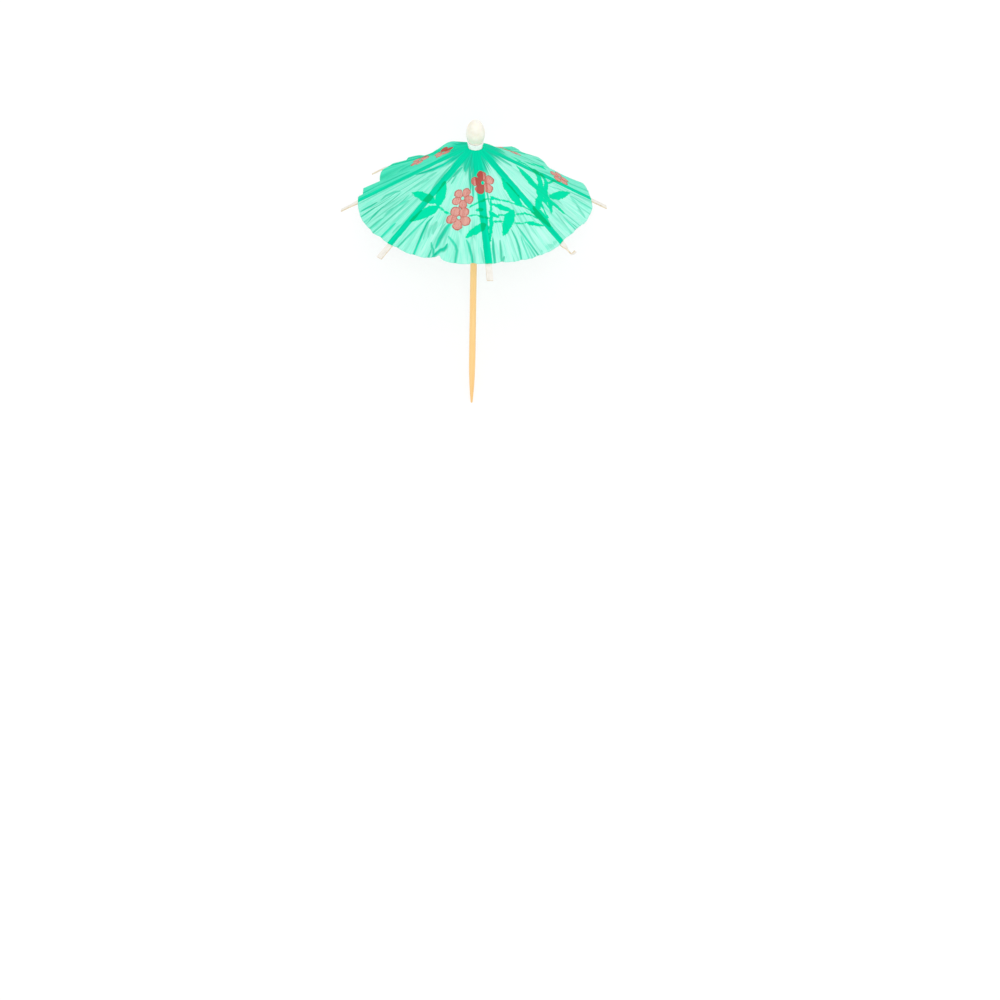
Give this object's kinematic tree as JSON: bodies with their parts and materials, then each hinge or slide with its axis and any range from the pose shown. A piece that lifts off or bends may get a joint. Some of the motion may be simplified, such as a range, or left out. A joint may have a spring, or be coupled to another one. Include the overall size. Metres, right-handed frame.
{
  "type": "cocktail umbrella pick",
  "caption": "Folding paper cocktail parasol: pleated tissue canopy on paperboard ribs and stretchers, with a sliding runner and retaining ring on a pointed wooden pick.",
  "frame": {"origin": "the point of the stick, on its axis", "axes": "+Z along the stick from the point to the bead; rib 1 points along -Y"},
  "size_m": [0.0814, 0.0815, 0.1],
  "materials": {
    "stick_wood": "plain sanded",
    "bead_plastic": "waxy satin",
    "band_paper": "matte",
    "newsprint": "matte, unprinted",
    "rib_board": "matte",
    "ring_plastic": "satin",
    "canopy_tissue": "thin printed tissue"
  },
  "bodies": {
    "pick": {"stick": "stick_wood", "finial_bead": "bead_plastic", "collar_band": "band_paper", "collar_sleeve": "newsprint"},
    "rib_1": {"rib_1": "rib_board", "canopy_gore_1": "canopy_tissue"},
    "rib_2": {"rib_2": "rib_board", "canopy_gore_2": "canopy_tissue"},
    "rib_3": {"rib_3": "rib_board", "canopy_gore_3": "canopy_tissue"},
    "rib_4": {"rib_4": "rib_board", "canopy_gore_4": "canopy_tissue"},
    "rib_5": {"rib_5": "rib_board", "canopy_gore_5": "canopy_tissue"},
    "rib_6": {"rib_6": "rib_board", "canopy_gore_6": "canopy_tissue"},
    "rib_7": {"rib_7": "rib_board", "canopy_gore_7": "canopy_tissue"},
    "rib_8": {"rib_8": "rib_board", "canopy_gore_8": "canopy_tissue"},
    "stretcher_1": {"stretcher_1": "rib_board"},
    "stretcher_2": {"stretcher_2": "rib_board"},
    "stretcher_3": {"stretcher_3": "rib_board"},
    "stretcher_4": {"stretcher_4": "rib_board"},
    "stretcher_5": {"stretcher_5": "rib_board"},
    "stretcher_6": {"stretcher_6": "rib_board"},
    "stretcher_7": {"stretcher_7": "rib_board"},
    "stretcher_8": {"stretcher_8": "rib_board"},
    "runner": {"runner_band": "band_paper", "runner_sleeve": "newsprint"},
    "ring": {"retaining_ring": "ring_plastic"}
  },
  "joints": [
    {"name": "canopy_fold", "type": "hinge", "parent": "pick", "child": "rib_1", "pos_m": [0, -0.00248, 0.0904], "axis": [1, 0, 0], "range_deg": [0, 53], "deforming": ["canopy_gore_1"]},
    {"name": "rib_2_fold", "type": "hinge", "parent": "pick", "child": "rib_2", "pos_m": [0.00163, -0.00188, 0.0904], "axis": [0.7547, 0.6561, 0], "range_deg": [0, 53], "deforming": ["canopy_gore_2"]},
    {"name": "rib_3_fold", "type": "hinge", "parent": "pick", "child": "rib_3", "pos_m": [0.00248, -0.00004, 0.0904], "axis": [0.0175, 0.9998, 0], "range_deg": [0, 53], "deforming": ["canopy_gore_3"]},
    {"name": "rib_4_fold", "type": "hinge", "parent": "pick", "child": "rib_4", "pos_m": [0.00153, 0.00196, 0.0904], "axis": [-0.788, 0.6157, 0], "range_deg": [0, 53], "deforming": ["canopy_gore_4"]},
    {"name": "rib_5_fold", "type": "hinge", "parent": "pick", "child": "rib_5", "pos_m": [-0.00022, 0.00248, 0.0904], "axis": [-0.9962, -0.0872, 0], "range_deg": [0, 53], "deforming": ["canopy_gore_5"]},
    {"name": "rib_6_fold", "type": "hinge", "parent": "pick", "child": "rib_6", "pos_m": [-0.00179, 0.00173, 0.0904], "axis": [-0.6947, -0.7193, 0], "range_deg": [0, 53], "deforming": ["canopy_gore_6"]},
    {"name": "rib_7_fold", "type": "hinge", "parent": "pick", "child": "rib_7", "pos_m": [-0.00247, 0.0003, 0.0904], "axis": [-0.1219, -0.9925, 0], "range_deg": [0, 53], "deforming": ["canopy_gore_7"]},
    {"name": "rib_8_fold", "type": "hinge", "parent": "pick", "child": "rib_8", "pos_m": [-0.00194, -0.00155, 0.0904], "axis": [0.6225, -0.7826, 0], "range_deg": [0, 53], "deforming": ["canopy_gore_8"]},
    {"name": "stretcher_1_fold", "type": "hinge", "parent": "rib_1", "child": "stretcher_1", "pos_m": [0, -0.01739, 0.08122], "axis": [1, 0, 0], "range_deg": [-106, 0]},
    {"name": "stretcher_2_fold", "type": "hinge", "parent": "rib_2", "child": "stretcher_2", "pos_m": [0.01141, -0.01312, 0.08122], "axis": [0.7547, 0.6561, 0], "range_deg": [-106, 0]},
    {"name": "stretcher_3_fold", "type": "hinge", "parent": "rib_3", "child": "stretcher_3", "pos_m": [0.01739, -0.0003, 0.08122], "axis": [0.0175, 0.9998, 0], "range_deg": [-106, 0]},
    {"name": "stretcher_4_fold", "type": "hinge", "parent": "rib_4", "child": "stretcher_4", "pos_m": [0.01071, 0.0137, 0.08122], "axis": [-0.788, 0.6157, 0], "range_deg": [-106, 0]},
    {"name": "stretcher_5_fold", "type": "hinge", "parent": "rib_5", "child": "stretcher_5", "pos_m": [-0.00152, 0.01732, 0.08122], "axis": [-0.9962, -0.0872, 0], "range_deg": [-106, 0]},
    {"name": "stretcher_6_fold", "type": "hinge", "parent": "rib_6", "child": "stretcher_6", "pos_m": [-0.01251, 0.01208, 0.08122], "axis": [-0.6947, -0.7193, 0], "range_deg": [-106, 0]},
    {"name": "stretcher_7_fold", "type": "hinge", "parent": "rib_7", "child": "stretcher_7", "pos_m": [-0.01726, 0.00212, 0.08122], "axis": [-0.1219, -0.9925, 0], "range_deg": [-106, 0]},
    {"name": "stretcher_8_fold", "type": "hinge", "parent": "rib_8", "child": "stretcher_8", "pos_m": [-0.01361, -0.01083, 0.08122], "axis": [0.6225, -0.7826, 0], "range_deg": [-106, 0]},
    {"name": "runner_slide", "type": "hinge", "parent": "stretcher_1", "child": "runner", "pos_m": [0, -0.00248, 0.07203], "axis": [1, 0, 0], "range_deg": [0, 53]},
    {"name": "ring_slide", "type": "slide", "parent": "runner", "child": "ring", "axis": [0, 0, 1], "range_m": [-0.02, 0]}
  ],
  "couplings": [
    {"joint": "rib_2_fold", "follows": "canopy_fold", "ratio": 1},
    {"joint": "rib_3_fold", "follows": "canopy_fold", "ratio": 1},
    {"joint": "rib_4_fold", "follows": "canopy_fold", "ratio": 1},
    {"joint": "rib_5_fold", "follows": "canopy_fold", "ratio": 1},
    {"joint": "rib_6_fold", "follows": "canopy_fold", "ratio": 1},
    {"joint": "rib_7_fold", "follows": "canopy_fold", "ratio": 1},
    {"joint": "rib_8_fold", "follows": "canopy_fold", "ratio": 1},
    {"joint": "stretcher_1_fold", "follows": "canopy_fold", "ratio": -2},
    {"joint": "stretcher_2_fold", "follows": "canopy_fold", "ratio": -2},
    {"joint": "stretcher_3_fold", "follows": "canopy_fold", "ratio": -2},
    {"joint": "stretcher_4_fold", "follows": "canopy_fold", "ratio": -2},
    {"joint": "stretcher_5_fold", "follows": "canopy_fold", "ratio": -2},
    {"joint": "stretcher_6_fold", "follows": "canopy_fold", "ratio": -2},
    {"joint": "stretcher_7_fold", "follows": "canopy_fold", "ratio": -2},
    {"joint": "stretcher_8_fold", "follows": "canopy_fold", "ratio": -2},
    {"joint": "runner_slide", "follows": "canopy_fold", "ratio": 1}
  ]
}
